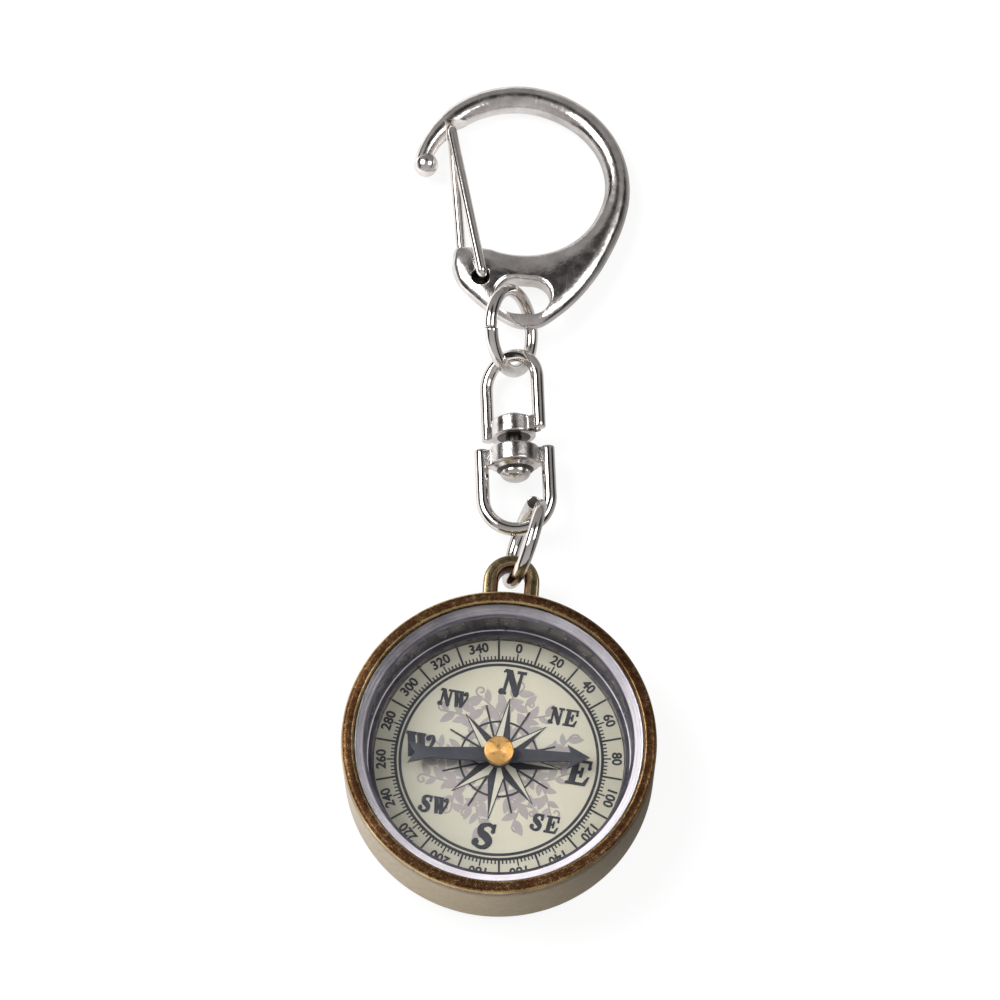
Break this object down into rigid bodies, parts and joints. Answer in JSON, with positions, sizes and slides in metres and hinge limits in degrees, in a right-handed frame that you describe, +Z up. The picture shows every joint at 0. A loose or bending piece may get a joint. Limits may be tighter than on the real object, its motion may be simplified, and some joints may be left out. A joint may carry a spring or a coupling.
{
  "type": "keychain compass",
  "caption": "Round brass pocket compass with a pivoting needle, hung by a lug, jump rings and a swivel from a snap clip with a sprung wire gate.",
  "frame": {"origin": "centre of the flat back of the round case, on the surface that the compass lies on", "axes": "+Z up through the lens towards the reader; +Y from the case through its lug along the chain to the clip; +X to the right of a reader who looks down at the dial with the lug at the top"},
  "size_m": [0.035, 0.1024, 0.0107],
  "materials": {
    "antique_brass": "antiqued and burnished, brown with pale gold wear on the edges",
    "pad_foam": "matte adhesive foam",
    "cup_plastic": "clear moulded plastic, slightly smoky",
    "dial_paper": "printed cream card",
    "pivot_steel": "ground",
    "bearing_brass": "turned",
    "needle_enamel": "dark slate enamel",
    "cap_brass": "turned and polished",
    "lens_plastic": "clear polished plastic",
    "nickel_wire": "bright nickel plate on drawn wire",
    "nickel_collar": "bright nickel plate on turned metal",
    "nickel_cast": "nickel plate on a die casting, slightly wavy"
  },
  "bodies": {
    "case_body": {"case": "antique_brass", "adhesive_pad": "pad_foam", "capsule_cup": "cup_plastic", "dial_card": "dial_paper", "pivot_pin": "pivot_steel", "lens_cover": "lens_plastic"},
    "needle_body": {"needle": "needle_enamel", "needle_cap": "cap_brass", "bearing_cup": "bearing_brass"},
    "lower_ring": {"lower_jump_ring": "nickel_wire"},
    "swivel_lower": {"swivel_lower_bow": "nickel_wire", "swivel_lower_collar": "nickel_collar"},
    "swivel_upper": {"swivel_rivet": "nickel_collar", "swivel_upper_collar": "nickel_collar", "swivel_upper_bow": "nickel_wire"},
    "upper_ring": {"upper_jump_ring": "nickel_wire"},
    "clip": {"clip_body": "nickel_cast"},
    "gate": {"clip_gate": "nickel_wire"}
  },
  "joints": [
    {"name": "needle_spin", "type": "hinge", "parent": "case_body", "child": "needle_body", "pos_m": [0, 0, 0], "axis": [0, 0, 1], "continuous": true},
    {"name": "lower_ring_turn", "type": "hinge", "parent": "case_body", "child": "lower_ring", "pos_m": [0.00101, 0.02523, 0.00536], "axis": [0.9513, -0.1677, -0.2588], "range_deg": [-45, 80]},
    {"name": "swivel_swing", "type": "hinge", "parent": "lower_ring", "child": "swivel_lower", "pos_m": [0.00141, 0.02973, 0.00391], "axis": [-0.0693, -0.0075, 0.9976], "range_deg": [-35, 35]},
    {"name": "swivel_spin", "type": "hinge", "parent": "swivel_lower", "child": "swivel_upper", "pos_m": [0.00033, 0.02665, 0.0038], "axis": [-0.108, 0.9942, 0], "continuous": true},
    {"name": "upper_ring_turn", "type": "hinge", "parent": "swivel_upper", "child": "upper_ring", "pos_m": [-0.00216, 0.05163, 0.00492], "axis": [0.8725, -0.061, 0.4848], "range_deg": [-45, 90]},
    {"name": "clip_swing", "type": "hinge", "parent": "upper_ring", "child": "clip", "pos_m": [-0.001, 0.05597, 0.00337], "axis": [0, 0.0628, 0.998], "range_deg": [-45, 45]},
    {"name": "gate_swing", "type": "hinge", "parent": "clip", "child": "gate", "pos_m": [-0.00732, 0.05972, 0.00313], "axis": [0, 0.0628, 0.998], "range_deg": [-18, 0], "stiffness_Nm_per_rad": 0.02}
  ]
}
